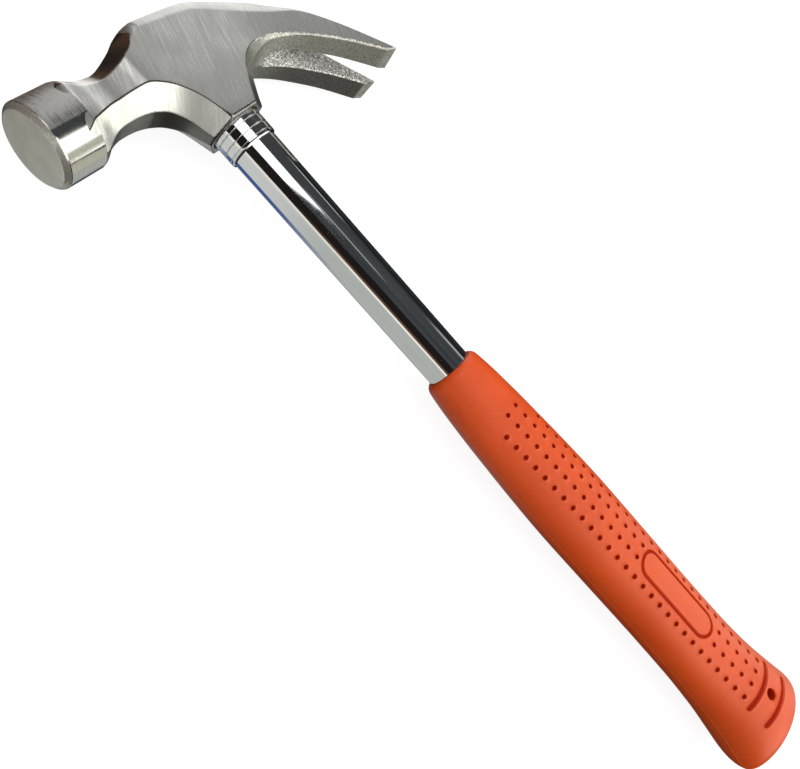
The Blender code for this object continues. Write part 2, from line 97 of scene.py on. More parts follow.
# The crown's outline: x, y, half width of its flat, width of the facet down to the cheek.
UPPER = [
    (-43.9, 12.9, 4.6, 5.4), (-41.0, 11.4, 4.5, 5.2), (-37.0, 9.7, 4.3, 5.0),
    (-33.0, 8.9, 4.2, 4.7), (-29.0, 9.1, 4.2, 4.7), (-22.0, 11.8, 5.0, 5.2),
    (-18.3, 13.8, 6.3, 4.4), (-15.2, 14.9, 7.3, 3.7), (-12.5, 15.4, 7.8, 3.6),
    (-9.0, 15.6, 7.9, 3.6), (6.0, 14.8, 7.9, 4.1), (13.5, 13.2, 7.9, 4.6), (30.0, 6.0, 8.0, 5.6),
    (35.7, 1.9, 8.8, 4.8), (40.6, -2.3, 10.3, 3.0), (45.4, -7.2, 12.0, 1.3),
    (54.5, -18.0, 13.5, 0.6), (63.6, -30.0, 14.4, 0.4), (67.6, -35.6, 14.9, 0.3),
]
# Half the thickness between the cheeks, by x.
HALF_THICKNESS = [
    (-43.9, 12.9), (-41.0, 10.9), (-37.5, 9.7), (-33.0, 9.2), (-25.0, 10.4), (-21.0, 11.5),
    (-18.0, 11.6), (18.0, 11.6), (48.0, 13.8), (67.6, 15.3),
]
# How round the crown is (0 flat facets, 1 a full arc), by x.
CROWN_ROUNDING = [(-20.0, 0.0), (-12.0, 0.7), (30.0, 0.6), (48.0, 0.0)]
# How much deeper the facet under the far cheek reaches in, by x.
FAR_INSET = [(-22.0, 1.0), (-14.0, 1.26), (4.0, 1.26), (11.0, 1.0)]
COLLAR_Y = -24.6
COLLAR_CHEEK = np.array([(-6.6, COLLAR_Y), (4.2, COLLAR_Y)])
COLLAR_EDGE_RADIUS = 0.9
CORNER_CLEARANCE = 1.05
CHEEK_BLEND = 3.0
NECK_FLARE = 8.0
FLARE_POWER = 2.2
SPLAY_START_X = 45.0
TIP_SPLAY = 1.2
TIP_SKEW = 0.025
EDGE_RADIUS = 0.5
ARC_STEPS = 4
# A rounding takes at most this share of a side.
SIDE_SHARE = 0.45
CRISP_RADIUS = 0.3
SOFT_RADIUS = 3.0

SLOT_START_X = 27.0
SLOT_ROUND_END = 5.0
SLOT_THROUGH_X = 46.0
SLOT_END_X = 70.0
SLOT_MOUTH = 4.6
SLOT_CROWN_MIN = 1.1
SLOT_CROWN_MAX = 3.4
SLOT_DEPTH = 9.0
SLOT_STATIONS = 60
SLOT_CHAMFER = 0.42
# At its start the slot is this deep, and this share of its width; the floor's greatest share of
# the mouth; how the sections crowd towards the start; how far a cutter reaches out of the metal.
SLOT_START_DEPTH = 0.3
SLOT_START_SHARE = 0.14
SLOT_FLOOR_SHARE = 0.8
SLOT_CROWDING = 1.3
OVERCUT = 2.0

EYE_RADIUS = 7.3
EYE_FLARE_RADIUS = 7.8
CROWN_Y = 15.3
SEAT_RADIUS = 9.35
SEAT_DEPTH = 3.2
TUBE_WALL = 1.2
TURN_STEPS, EYE_STEPS, WEDGE_STEPS = 160, 128, 96

# The grip's outline: y, half width, half height.
GRIP_SECTIONS = [
    (-131.6, 9.5, 9.5), (-132.6, 10.4, 10.2), (-134.6, 11.0, 10.7), (-142.0, 12.2, 11.1),
    (-155.0, 13.6, 11.5), (-165.0, 14.3, 11.9), (-180.0, 15.2, 12.5), (-200.0, 15.9, 13.1),
    (-225.0, 15.8, 13.4), (-250.0, 15.7, 13.4), (-271.0, 16.0, 13.4), (-282.0, 16.4, 13.7),
    (-293.0, 17.1, 14.7), (-302.0, 18.2, 15.8), (-308.0, 19.2, 16.3), (-313.0, 20.3, 16.1),
    (-317.0, 20.9, 15.1), (-319.8, 20.8, 12.9), (-321.4, 20.1, 10.0), (-322.1, 18.0, 7.0),
    (-322.4, 14.4, 4.2),
]
# How far the butt leans to the claw's side, by y.
GRIP_BEND = [(-322.0, 0.55), (-288.0, 0.0)]
# The lip that turns in to the tube at the top, and the rows that close the butt.
GRIP_LIP = [(-136.0, 8.5, 8.5), (-132.4, 8.5, 8.5), (-131.7, 8.7, 8.7), (-131.45, 9.1, 9.1)]
GRIP_BUTT = [(-322.6, 9.0, 2.2), (-322.7, 4.0, 0.8), (-322.7, 0.3, 0.1)]


# ---- shape helpers


def value_at(points, x):
    """Smooth value at x through (x, value) points, with no overshoot between them."""
    xs = [point[0] for point in points]
    ys = [point[1] for point in points]
    if x <= xs[0]:
        return ys[0]
    if x >= xs[-1]:
        return ys[-1]
    slopes = [(ys[i + 1] - ys[i]) / (xs[i + 1] - xs[i]) for i in range(len(xs) - 1)]
    tangents = [slopes[0]]
    for before, after in zip(slopes, slopes[1:]):
        same_way = before * after > 0.0
        tangents.append(2.0 * before * after / (before + after) if same_way else 0.0)
    tangents.append(slopes[-1])
    i = max(k for k in range(len(slopes)) if xs[k] <= x)
    span = xs[i + 1] - xs[i]
    t = (x - xs[i]) / span
    return (
        (2 * t**3 - 3 * t**2 + 1) * ys[i]
        + (t**3 - 2 * t**2 + t) * span * tangents[i]
        + (3 * t**2 - 2 * t**3) * ys[i + 1]
        + (t**3 - t**2) * span * tangents[i + 1]
    )


def spline(points, steps):
    """Catmull-Rom curve through the rows of points, every column at once."""
    rows = np.array(points, dtype=float)
    padded = np.vstack([2 * rows[0] - rows[1], rows, 2 * rows[-1] - rows[-2]])
    out = []
    for p0, p1, p2, p3 in zip(padded, padded[1:], padded[2:], padded[3:]):
        square, cube = 2 * p0 - 5 * p1 + 4 * p2 - p3, 3 * p1 - p0 - 3 * p2 + p3
        for k in range(steps):
            t = k / steps
            out.append(0.5 * (2 * p1 + (p2 - p0) * t + square * t**2 + cube * t**3))
    out.append(rows[-1])
    return np.array(out)


def inward_normals(curve, side):
    tangents = np.gradient(curve[:, :2], axis=0)
    tangents /= np.linalg.norm(tangents, axis=1)[:, None]
    return np.column_stack([-tangents[:, 1], tangents[:, 0]]) * side


def smoothstep(t):
    t = min(1.0, max(0.0, t))
    return t * t * (3 - 2 * t)


def arc_point(start, corner, end, t):
    return (1 - t) ** 2 * start + 2 * t * (1 - t) * corner + t**2 * end


def rounded(keys, radii, cuts):
    """An open polyline with its inner corners rounded and its sides cut into short pieces.

    Returns the points and, for each, the side and the corner (0 on a side) that lead to it.
    """
    keys = [np.asarray(key, dtype=float) for key in keys]
    start = keys[0]
    out = [(start, 0, 0)]
    for i in range(1, len(keys)):
        inner = i < len(keys) - 1
        end = leave = keys[i]
        if inner:
            back, ahead = keys[i - 1] - keys[i], keys[i + 1] - keys[i]
            back_length, ahead_length = np.linalg.norm(back), np.linalg.norm(ahead)
            reach = min(radii[i - 1], SIDE_SHARE * back_length, SIDE_SHARE * ahead_length)
            end = keys[i] + back / back_length * reach
            leave = keys[i] + ahead / ahead_length * reach
        parts = cuts[i - 1] + 1
        out += [(start + (end - start) * k / parts, i - 1, 0) for k in range(1, parts)]
        out.append((end, i - 1, 0))
        for k in range(1, ARC_STEPS + 1 if inner else 1):
            side = i - 1 if 2 * k <= ARC_STEPS else i
            out.append((arc_point(end, keys[i], leave, k / ARC_STEPS), side, i))
        start = leave
    return [list(column) for column in zip(*out)]


def mesh_object(name, vertices, faces, materials, indices):
    """A piece from points in millimetres, with every face turned outwards."""
    mesh = bpy.data.meshes.new(name)
    mesh.from_pydata([tuple(v) for v in np.asarray(vertices) * MM + ORIGIN], [], faces)
    for material in materials:
        mesh.materials.append(material)
    mesh.polygons.foreach_set("material_index", indices)
    mesh.validate()
    obj = bpy.data.objects.new(name, mesh)
    bpy.context.scene.collection.objects.link(obj)
    bm = bmesh.new()
    bm.from_mesh(mesh)
    bmesh.ops.remove_doubles(bm, verts=bm.verts, dist=0.000002)
    bmesh.ops.recalc_face_normals(bm, faces=bm.faces)
    bm.to_mesh(mesh)
    bm.free()
    return obj


def shade(obj, sharp_degrees):
    obj.data.shade_smooth()
    obj.data.set_sharp_from_angle(angle=math.radians(sharp_degrees))


def quads(here, there):
    """Faces between two closed rings of vertex numbers."""
    after = [(i + 1) % len(here) for i in range(len(here))]
    return [(here[i], here[j], there[j], there[i]) for i, j in enumerate(after)]


def turned(name, profile, steps, materials, index=0, sharp_degrees=35.0):
    """A solid turned about the Y axis from (radius, y) points: closed by its ends where they lie
    on the axis, or else a closed ring. index names its material."""
    vertices, faces, rings = [], [], []
    turns = [2 * math.pi * k / steps for k in range(steps)]
    for radius, y in profile:
        on_axis = radius == 0.0
        rings.append([len(vertices) + (0 if on_axis else k) for k in range(steps)])
        for angle in turns[:1] if on_axis else turns:
            vertices.append((radius * math.cos(angle), y, radius * math.sin(angle)))
    pairs = list(zip(rings, rings[1:]))
    if profile[0][0] != 0.0:
        pairs.append((rings[-1], rings[0]))
    for here, there in pairs:
        # On the axis two corners of a face are one.
        faces += [list(dict.fromkeys(face)) for face in quads(here, there)]
    obj = mesh_object(name, vertices, faces, materials, [index] * len(faces))
    shade(obj, sharp_degrees)
    return obj


def cut(target, tool):
    """Take the tool's shape out of the target, with the tool's materials on the new faces."""
    modifier = target.modifiers.new("cut", "BOOLEAN")
    modifier.operation = "DIFFERENCE"
    modifier.object = tool


def apply_modifiers(obj):
    graph = bpy.context.evaluated_depsgraph_get()
    mesh = bpy.data.meshes.new_from_object(obj.evaluated_get(graph), depsgraph=graph)
    obj.modifiers.clear()
    old = obj.data
    obj.data = mesh
    bpy.data.meshes.remove(old)


# ---- node helpers


class Nodes:
    """Short calls for making node trees. position is where noise and directions are read."""

    def __init__(self, tree, position=None):
        self.tree = tree
        self.position = position or self.place()

    def add(self, kind, inputs=None, **settings):
        node = self.tree.nodes.new(kind)
        for key, value in settings.items():
            setattr(node, key, value)
        for key, value in (inputs or {}).items():
            self.feed(node.inputs[key], value)
        return node

    def feed(self, socket, value):
        """Link a socket, or set its value. A colour is three numbers."""
        if isinstance(value, bpy.types.NodeSocket):
            self.tree.links.new(value, socket)
        elif socket.type == "RGBA":
            socket.default_value = (*value, 1.0)
        else:
            socket.default_value = value

    def math(self, operation, *values, clamp=False):
        inputs = dict(enumerate(values))
        return self.add("ShaderNodeMath", inputs, operation=operation, use_clamp=clamp).outputs[0]

    def plus(self, a, b):
        return self.math("ADD", a, b)

    def times(self, a, b):
        return self.math("MULTIPLY", a, b)

    def vector(self, operation, inputs, output=0):
        return self.add("ShaderNodeVectorMath", inputs, operation=operation).outputs[output]

    def ramp(self, value, start, end, low=0.0, high=1.0, smooth=True):
        """low before start, high after end, smooth between them."""
        node = self.add(
            "ShaderNodeMapRange",
            {"Value": value, "From Min": start, "From Max": end, "To Min": low, "To Max": high},
            interpolation_type="SMOOTHSTEP" if smooth else "LINEAR",
        )
        return node.outputs["Result"]

    def spread(self, noise, low=0.0, high=1.0):
        """Spread a noise, whose values lie mostly between 0.3 and 0.7, from low to high."""
        return self.ramp(noise, 0.3, 0.7, low, high)

    def mix(self, factor, low, high):
        inputs = {"Factor": factor, 6: low, 7: high}
        return self.add("ShaderNodeMix", inputs, data_type="RGBA").outputs[2]

    def scaled(self, colour, factor):
        return self.vector("SCALE", {0: colour, "Scale": factor})

    def place(self):
        """Position on the object in millimetres from the crossing of the two axes."""
        coords = self.add("ShaderNodeTexCoord").outputs["Object"]
        return self.scaled(self.vector("SUBTRACT", {0: coords, 1: tuple(ORIGIN)}), 1.0 / MM)

    def along(self, direction):
        inputs = {0: self.position, 1: tuple(Vector(direction).normalized())}
        return self.vector("DOT_PRODUCT", inputs, "Value")

    def noise(self, size, detail=2.0, roughness=0.5, offset=0.0, position=None):
        """Noise from 0 to 1 with features of about the given size in millimetres."""
        position = position or self.position
        if offset:
            position = self.vector("ADD", {0: position, 1: (offset, offset, offset)})
        node = self.add(
            "ShaderNodeTexNoise",
            {"Vector": position, "Scale": 1.0 / size, "Detail": detail, "Roughness": roughness},
        )
        return node.outputs["Fac"]

    def grain(self, across, width, length, detail=2.0, offset=0.0):
        """Noise drawn out in every direction but one, like the marks of a belt or wheel."""
        short = Vector(across).normalized()
        side = short.orthogonal().normalized()
        third = short.cross(side)
        parts = [
            self.times(self.along(axis), 1.0 / size)
            for axis, size in ((short, width), (side, length), (third, length))
        ]
        stretched = self.add("ShaderNodeCombineXYZ", dict(enumerate(parts))).outputs[0]
        return self.noise(1.0, detail, 0.55, offset, stretched)

    def cells(self, scale):
        inputs = {"Vector": self.position, "Scale": scale}
        return self.add("ShaderNodeTexVoronoi", inputs).outputs["Distance"]

    def bump(self, height, depth):
        """Relief of the given depth in millimetres."""
        inputs = {"Height": height, "Distance": depth * MM, "Strength": 1.0}
        return self.add("ShaderNodeBump", inputs).outputs["Normal"]


class Surface(Nodes):
    """The nodes of a new material."""

    def __init__(self, name, metallic, **sockets):
        self.material = bpy.data.materials.new(name)
        self.material.use_nodes = True
        super().__init__(self.material.node_tree)
        self.shader = self.tree.nodes["Principled BSDF"]
        for key, value in {"Metallic": metallic, **sockets}.items():
            self.feed(self.shader.inputs[key.replace("_", " ")], value)

    def finish(self, colour, roughness, height=None, relief=0.0):
        """Connect the shader and return the material."""
        self.feed(self.shader.inputs["Base Color"], colour)
        self.feed(self.shader.inputs["Roughness"], roughness)
        if height is not None:
            self.feed(self.shader.inputs["Normal"], self.bump(height, relief))
        return self.material


# ---- materials

# Directions across the marks of the grinding belt.
ACROSS = (0.95, -0.31, 0.0)
UPRIGHT = (0.0, 0.0, 1.0)


def brushed_steel(name, colour, roughness, direction, contrast=0.16, relief=0.02, metallic=1.0):
    """Belt-ground steel: fine scratches, a few deeper ones, and cloudy polish."""
    n = Surface(name, metallic)
    fine = n.grain(direction, 0.15, 8.0, 3.0)
    coarse = n.grain(direction, 0.40, 16.0, 2.0, 40.0)
    cloud = n.noise(9.0, 3.0, 0.5, 80.0)
    marks = n.plus(n.times(fine, 0.6), n.times(coarse, 0.4))
    light = n.ramp(marks, 0.36, 0.64, 1.0 - contrast, 1.0 + contrast * 0.7, smooth=False)
    light = n.times(light, n.spread(cloud, 0.94, 1.04))
    rough = n.ramp(marks, 0.35, 0.65, roughness + 0.07, roughness - 0.05)
    rough = n.plus(rough, n.spread(cloud, 0.03, -0.03))
    return n.finish(n.scaled(colour, light), rough, marks, relief)


def polished_steel(name):
    """The poll's turned side: mirror bright below, brushed above, with turning marks round it."""
    n = Surface(name, 1.0)
    x, y, z = (n.along(axis) for axis in ((1, 0, 0), (0, 1, 0), (0, 0, 1)))
    rings = n.add("ShaderNodeCombineXYZ", {0: n.times(x, 4.0)}).outputs[0]
    turning = n.noise(1.0, 4.0, 0.7, position=rings)
    scuffs = n.grain((1.0, 0.0, 0.0), 0.25, 6.0, 3.0)
    cloud = n.noise(5.0, 3.0)
    fine = n.noise(0.35, 2.0)
    turn = n.times(n.math("ARCTAN2", y, z), 180.0 / math.pi)
    brushed = n.times(n.ramp(turn, -15.0, -11.0), n.ramp(turn, 150.0, 165.0, 1.0, 0.0))
    light = n.times(n.spread(turning, 0.94, 1.04), n.ramp(scuffs, 0.35, 0.65, 0.93, 1.05))
    rough = n.plus(n.spread(cloud, 0.09, 0.15), n.spread(fine, -0.02, 0.03))
    rough = n.plus(rough, n.times(brushed, n.ramp(scuffs, 0.35, 0.65, 0.14, 0.28)))
    return n.finish(n.scaled((0.76, 0.75, 0.73), light), rough, scuffs, 0.004)


def face_steel(name):
    """The striking face: even, matt and slightly clouded."""
    n = Surface(name, 0.8)
    fine = n.noise(0.22, 3.0, 0.6)
    light = n.times(n.spread(n.noise(6.0, 3.0), 0.95, 1.04), n.spread(fine, 0.96, 1.03))
    return n.finish(n.scaled((0.92, 0.92, 0.84), light), n.spread(fine, 0.42, 0.52), fine, 0.012)


def cast_steel(name, colour, dark, grain, relief, roughness, metallic=1.0):
    """Forged and blasted skin: sparkling grains over darker pits."""
    n = Surface(name, metallic)
    skin = n.noise(grain * 2.2, 3.0, 0.65)
    height = n.plus(n.times(skin, 0.8), n.times(n.cells(1.0 / grain), -0.35))
    pale = n.ramp(height, 0.1, 0.42)
    pale = n.math("MULTIPLY", pale, n.spread(n.noise(4.0, 2.0), 0.85, 1.1), clamp=True)
    rough = n.ramp(height, 0.1, 0.45, roughness + 0.12, roughness - 0.08)
    return n.finish(n.mix(pale, dark, colour), rough, height, relief)


def claw_steel(name):
    """Underside of the claws: golden-grey blasted skin, smoother in the throat and on the lower
    claw, and darker there with painted shade."""
    n = Surface(name, 0.75)
    x, z = (n.along(axis) for axis in ((1, 0, 0), (0, 0, 1)))
    cloud = n.noise(3.0, 3.0)
    grains = n.noise(0.62, 4.0, 0.70)
    height = n.plus(grains, n.times(n.cells(2.6), -0.3))
    edge = n.times(n.math("SUBTRACT", cloud, 0.5), 6.0)
    throat = n.ramp(n.plus(x, edge), 21.0, 30.0, 1.0, 0.0)
    lower = n.ramp(n.plus(z, edge), -1.0, -5.0)
    smooth = n.math("MAXIMUM", throat, lower)
    pale = n.ramp(height, 0.25, 0.55)
    rough_colour = n.mix(pale, (0.52, 0.51, 0.44), (1.0, 0.99, 0.90))
    # The smooth parts' darker colour is painted shade as well as smoother skin.
    smooth_shaded_colour = n.mix(pale, (0.24, 0.24, 0.22), (0.44, 0.44, 0.41))
    relief = n.times(height, n.ramp(smooth, 0.0, 1.0, 1.0, 0.25, smooth=False))
    rough = n.ramp(height, 0.2, 0.6, 0.46, 0.32)
    return n.finish(n.mix(smooth, rough_colour, smooth_shaded_colour), rough, relief, 0.16)


def chrome(name):
    """Bright chrome with faint drawing lines along the tube and a little haze."""
    n = Surface(name, 1.0)
    lines = n.grain((1, 0, 0.4), 0.30, 60.0, 2.0)
    haze = n.noise(3.0, 3.0)
    specks = n.noise(0.5, 3.0, 0.7)
    rough = n.plus(n.ramp(haze, 0.35, 0.75, 0.035, 0.075), n.ramp(specks, 0.62, 0.75, 0.0, 0.03))
    return n.finish(n.scaled((0.87, 0.88, 0.89), n.spread(lines, 0.97, 1.02)), rough, lines, 0.0015)


def rubber(name, deep, bright, roughness, gloss):
    """Orange moulded grip: satin skin with fine spark-erosion texture and slight mottling."""
    n = Surface(name, 0.0, Specular_IOR_Level=gloss, IOR=1.5)
    mottle = n.noise(16.0, 2.0)
    skin = n.noise(0.25, 3.0, 0.6)
    wear = n.noise(1.6, 4.0, 0.6, 30.0)
    colour = n.mix(n.spread(mottle), deep, bright)
    colour = n.scaled(colour, n.ramp(wear, 0.25, 0.75, 0.96, 1.04))
    rough = n.spread(skin, roughness - 0.04, roughness + 0.05)
    return n.finish(colour, n.plus(rough, n.ramp(wear, 0.5, 0.8, 0.0, 0.05)), skin, 0.006)


def ash_wood(name):
    n = Surface(name, 0.0)
    rays = n.grain((1, 0, 0.5), 0.5, 25.0, 3.0)
    rings = n.grain((1, 0, 0.2), 2.2, 80.0, 1.0, 20.0)
    tone = n.plus(n.times(rays, 0.5), n.times(rings, 0.5))
    colour = n.mix(n.ramp(tone, 0.38, 0.62), (0.42, 0.26, 0.13), (0.70, 0.52, 0.32))
    return n.finish(colour, n.spread(rays, 0.75, 0.6), rays, 0.05)


def black_plastic(name):
    n = Surface(name, 0.0)
    skin = n.noise(0.3, 3.0)
    colour = n.mix(n.spread(skin), (0.022, 0.022, 0.023), (0.042, 0.042, 0.044))
    return n.finish(colour, n.spread(skin, 0.45, 0.6), skin, 0.015)


# The kind of steel for each zone of the head, and what it takes. The facet and the underside
# ("under") are lit and shaded copies of one brushed steel: painted light on the facet, painted
# shade underneath.
STEELS = {
    "cheek": (brushed_steel, (0.64, 0.64, 0.62), 0.30, ACROSS, 0.22, 0.02, 0.88),
    "facet": (brushed_steel, (0.97, 0.97, 0.90), 0.28, ACROSS, 0.20, 0.02, 0.6),
    "under": (brushed_steel, (0.27, 0.27, 0.25), 0.34, UPRIGHT, 0.12),
    "crown": (brushed_steel, (0.60, 0.56, 0.53), 0.20, UPRIGHT, 0.10, 0.008),
    "poll": (polished_steel,),
    "face": (face_steel,),
    "chamfer": (cast_steel, (0.98, 0.97, 0.90), (0.55, 0.53, 0.47), 0.3, 0.05, 0.3, 0.8),
    "claw": (claw_steel,),
    "slot": (cast_steel, (1.0, 0.99, 0.96), (0.26, 0.25, 0.23), 0.40, 0.30, 0.26, 0.55),
    "collar": (brushed_steel, (0.45, 0.44, 0.42), 0.26, ACROSS, 0.16),
    # Painted shade: the near-black edge steel is a dark line along the rounded edge between facet
    # and cheek.
    "edge": (brushed_steel, (0.09, 0.09, 0.085), 0.45, ACROSS, 0.25),
    # Painted light: the paler tip steel brightens the bevel under the tips.
    "tip": (cast_steel, (0.90, 0.88, 0.80), (0.40, 0.38, 0.34), 0.35, 0.14, 0.32, 0.7),
}
ZONES = list(STEELS)


# ---- head

# Stands for the rounded edge between facet and cheek, beside the sides' own numbers.
EDGE = 99
# Where one zone gives way to the next.
COLLAR_FROM_X = -11.0
CLAW_FROM_X = 14.5
SLOT_EDGE_FROM_X = 22.0
CROWN_UNTIL_X = -16.0


def head_rows():
    """The lower outline from poll to claw. Columns: x, y, half width of the edge face, x of the
    crown above, x and y of the cheek's lower edge, 1 on the collar's flat bottom."""
    blocks = []
    for points, steps in ((NECK_LOWER, 7), (COLLAR_LOWER, 14), (CLAW_LOWER, 7), (TIP_LOWER, 6)):
        curve = spline(points, steps)
        cheeks = curve[:, :2] + inward_normals(curve, 1) * curve[:, 3:4]
        flat = np.zeros(len(curve))
        if points is COLLAR_LOWER:
            share = np.linspace(0, 1, len(curve))[:, None]
            cheeks = COLLAR_CHEEK[0] * (1 - share) + COLLAR_CHEEK[1] * share
            flat[:] = 1.0
        else:
            corner, at = (NECK_LOWER[-1], 0) if points is NECK_LOWER else (CLAW_LOWER[0], 1)
            for i in range(len(curve)):
                gap = np.linalg.norm(curve[i, :2] - corner[:2])
                blend = 1 - smoothstep(gap / CHEEK_BLEND)
                cheeks[i] = cheeks[i] * (1 - blend) + COLLAR_CHEEK[at] * blend
                flat[i] = blend
        blocks.append(np.column_stack([curve[:, :3], curve[:, 4], cheeks, flat]))
    neck, collar, claw, tip = blocks
    rows = np.vstack([neck[:-1], collar, claw[1:], tip[1:]])
    rows = round_corner(rows, len(neck) - 1, COLLAR_EDGE_RADIUS)
    corner = int(np.argmin(np.hypot(rows[:, 0] - COLLAR_LOWER[-1][0], rows[:, 1] - COLLAR_Y)))
    return round_corner(rows, corner, COLLAR_EDGE_RADIUS)


def round_corner(rows, corner, radius):
    steps = np.linalg.norm(np.diff(rows[:, :2], axis=0), axis=1)
    along = np.concatenate([[0.0], np.cumsum(steps)])

    def at(distance):
        return np.array([np.interp(distance, along, column) for column in rows.T])

    start, end = at(along[corner] - radius), at(along[corner] + radius)
    arc = [arc_point(start, rows[corner], end, t) for t in np.linspace(0, 1, 6)]
    gap = radius * CORNER_CLEARANCE
    before, after = rows[along < along[corner] - gap], rows[along > along[corner] + gap]
    return np.vstack([before, arc, after])


def splayed(ring):
    """Lead the inner corners of the claws ahead of the outer ones towards the tips."""
    out = []
    for x, y, z in ring:
        along = max(0.0, (x - SPLAY_START_X) / (UPPER[-1][0] - SPLAY_START_X))
        lead = TIP_SPLAY * along**2 * (1 - abs(z) / HALF_THICKNESS[-1][1]) * math.sqrt(0.5)
        lead -= TIP_SKEW * along * z
        out.append((x + lead, y - lead, z))
    return out


def flared_to_poll(ring, x):
    """Sweep the neck's eight sides out into the round back of the poll."""
    along = (POLL_PROFILE[-1][0] + NECK_FLARE - x) / NECK_FLARE
    if along <= 0.0:
        return ring
    blend = min(1.0, along) ** FLARE_POWER
    round_radius = abs(NECK_LOWER[0][1])
    out = []
    for px, py, pz in ring:
        scale = 1 - blend + blend * round_radius / math.hypot(py, pz)
        out.append((px, py * scale, pz * scale))
    return out


def head_half(row, crown, inset):
    """One half of a section of the head, with the side and the corner that lead to each point."""
    low, flat = row[:2], row[6]
    low_cheek = low + (row[4:6] - low) * inset
    high, normal = crown[:2], crown[4:6]
    high_cheek = high + normal * crown[3]
    low_t = value_at(HALF_THICKNESS, low_cheek[0])
    high_t = value_at(HALF_THICKNESS, high_cheek[0])
    rounding = value_at(CROWN_ROUNDING, high[0])
    upper = []
    for i in range(4):
        u = i / 3
        angle = u * math.pi / 2
        across = (1 - rounding) * u + rounding * (1 - math.cos(angle))
        up = (1 - rounding) * u + rounding * math.sin(angle)
        x, y = high + (high_cheek - high) * across
        upper.append((x, y, crown[2] + (high_t - crown[2]) * up))
    keys = [
        (low[0], low[1], 0.0),
        (low[0], low[1], row[2]),
        (low_cheek[0], low_cheek[1], low_t),
        *upper[::-1],
        (high[0], high[1], 0.0),
    ]
    soft = EDGE_RADIUS + (SOFT_RADIUS - EDGE_RADIUS) * rounding
    crisp = CRISP_RADIUS + (COLLAR_EDGE_RADIUS - CRISP_RADIUS) * flat
    radii = (EDGE_RADIUS, crisp, soft, SOFT_RADIUS, SOFT_RADIUS, soft)
    points, sides, corners = rounded(keys, radii, SECTION_CUTS)
    for k, (point, side) in enumerate(zip(points, sides)):
        if side == 2 and sides[k - 1] == 2 and k + 1 < len(sides) and sides[k + 1] == 2:
            point[2] = value_at(HALF_THICKNESS, point[0])
    return [tuple(point) for point in points], sides, corners


def head_ring(row, crown):
    """One section of the head and the zone of each of its sides."""
    half, sides, corners = head_half(row, crown, 1.0)
    far = head_half(row, crown, value_at(FAR_INSET, row[0]))[0]
    ring = half + [(x, y, -z) for x, y, z in far[-2:0:-1]]
    zone = [EDGE if corners[k + 1] == 2 else sides[k + 1] for k in range(len(half) - 1)]
    zone = zone + zone[::-1]
    return splayed(flared_to_poll(ring, crown[0])), zone


def zone_name(side, row):
    x = row[0]
    on_claw = x > CLAW_FROM_X
    if side == EDGE:
        # Before the collar this edge takes the near-black steel, a painted line of shade.
        return "slot" if x > SLOT_EDGE_FROM_X else ("collar" if x > COLLAR_FROM_X else "edge")
    if row[6] > 0.9 and side <= 1:
        return "collar"
    # The bevel under the tips takes a paler steel: painted light.
    if side == 0 and x > TIP_LOWER[0][0]:
        return "tip"
    if side <= 1 and on_claw:
        return "claw"
    if side <= 1:
        # The facet takes a brighter steel and the underside a darker one: painted light and painted
        # shade.
        return "facet" if side == 1 and x < 0 else "under"
    return "crown" if row[3] < CROWN_UNTIL_X and 2 < side < 6 else "cheek"


def slot_tool(materials):
    """Cutter for the nail slot: sections square to the claw, with a chamfer along the mouth."""
    curve = spline(CLAW_LOWER, 8)
    rows = np.column_stack([curve[:, :2], inward_normals(curve, 1)])
    rings = []
    for i in range(SLOT_STATIONS + 1):
        x = SLOT_START_X + (SLOT_END_X - SLOT_START_X) * (i / SLOT_STATIONS) ** SLOT_CROWDING
        px, py, nx, ny = [np.interp(x, rows[:, 0], column) for column in rows.T]
        past_tip = max(0.0, x - rows[-1, 0])
        px, py = px + past_tip, py - past_tip
        from_start = min(1.0, (x - SLOT_START_X) / SLOT_ROUND_END)
        mouth = SLOT_MOUTH * max(SLOT_START_SHARE, math.sqrt(1 - (1 - from_start) ** 2))
        opened = min(1.0, (x - SLOT_START_X) / (SLOT_THROUGH_X - SLOT_START_X))
        towards_tip = max(0.0, (x - SLOT_THROUGH_X) / (SLOT_END_X - SLOT_THROUGH_X))
        floor = SLOT_CROWN_MIN + (SLOT_CROWN_MAX - SLOT_CROWN_MIN) * towards_tip
        floor += (SLOT_MOUTH - SLOT_CROWN_MIN) * (1 - opened) ** 2
        floor = min(floor, mouth * SLOT_FLOOR_SHARE)
        depth = SLOT_START_DEPTH + (SLOT_DEPTH - SLOT_START_DEPTH) * opened
        bevel = SLOT_CHAMFER * from_start
        inside = mouth + (floor - mouth) * bevel / depth
        half = [(-OVERCUT, mouth + OVERCUT + bevel), (bevel, inside)]
        for k in (1, 2, 3):
            half.append((bevel + (depth - bevel) * k / 3, inside + (floor - inside) * k / 3))
        ring = [(px + nx * h, py + ny * h, w) for h, w in half]
        ring += [(px + nx * h, py + ny * h, -w) for h, w in reversed(half)]
        rings.append(ring)
    return lofted("slot_tool", rings, materials, lambda row, side: ZONES.index("slot"))


def lofted(name, rings, materials, index_of):
    """A closed solid through rings of points. index_of gives a material by row and side."""
    count = len(rings[0])
    vertices = [point for ring in rings for point in ring]
    rows = [range(r * count, (r + 1) * count) for r in range(len(rings))]
    faces, indices = [], []
    for r in range(len(rings) - 1):
        faces += quads(rows[r], rows[r + 1])
        indices += [index_of(r, i) for i in range(count)]
    faces += [tuple(rows[0]), tuple(rows[-1])]
    indices += [indices[0], indices[-1]]
    return mesh_object(name, vertices, faces, materials, indices)


